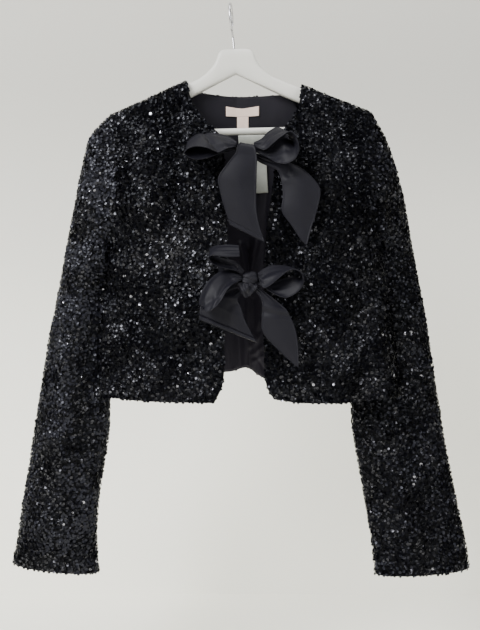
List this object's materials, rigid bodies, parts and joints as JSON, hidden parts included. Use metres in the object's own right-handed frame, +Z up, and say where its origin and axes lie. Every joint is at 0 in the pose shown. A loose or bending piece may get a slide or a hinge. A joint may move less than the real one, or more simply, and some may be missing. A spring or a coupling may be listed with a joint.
{
  "type": "sequinned cropped jacket on a hanger",
  "caption": "Cropped round-neck open-front jacket of sequinned cloth with long sleeves, closed by satin ribbon bows, hanging on a wooden hanger.",
  "frame": {"origin": "inside top of the hanger's hook, where a rail carries it", "axes": "+Z up, the jacket's front faces -Y, +X to the wearer's left"},
  "size_m": [0.637, 0.1529, 0.783],
  "materials": {
    "sequinned_cloth": "glossy sequins on knitted mesh",
    "lining_satin": "satin",
    "ribbon_satin": "satin",
    "woven_label": "matt woven",
    "care_label": "matt",
    "painted_wood": "painted satin",
    "steel_wire": "bright drawn wire"
  },
  "bodies": {
    "root": {"front_right": "sequinned_cloth", "front_left": "sequinned_cloth", "back": "sequinned_cloth", "sleeve_right": "sequinned_cloth", "sleeve_left": "sequinned_cloth", "lining_back": "lining_satin", "neck_label": "woven_label", "size_tab": "woven_label", "care_label": "care_label", "upper_loop_right": "ribbon_satin", "upper_loop_left": "ribbon_satin", "upper_tail_right": "ribbon_satin", "upper_tail_left": "ribbon_satin", "lower_roll": "ribbon_satin", "lower_loop_right": "ribbon_satin", "lower_tail_right": "ribbon_satin", "lower_loop_left": "ribbon_satin", "lower_tail_left": "ribbon_satin", "upper_end_right": "ribbon_satin", "upper_end_left": "ribbon_satin", "lower_end_right": "ribbon_satin", "lower_end_left": "ribbon_satin", "upper_wrap": "ribbon_satin", "lower_wrap": "ribbon_satin", "hanger_arms": "painted_wood", "hanger_bar": "painted_wood", "hanger_hook": "steel_wire"}
  },
  "joints": []
}
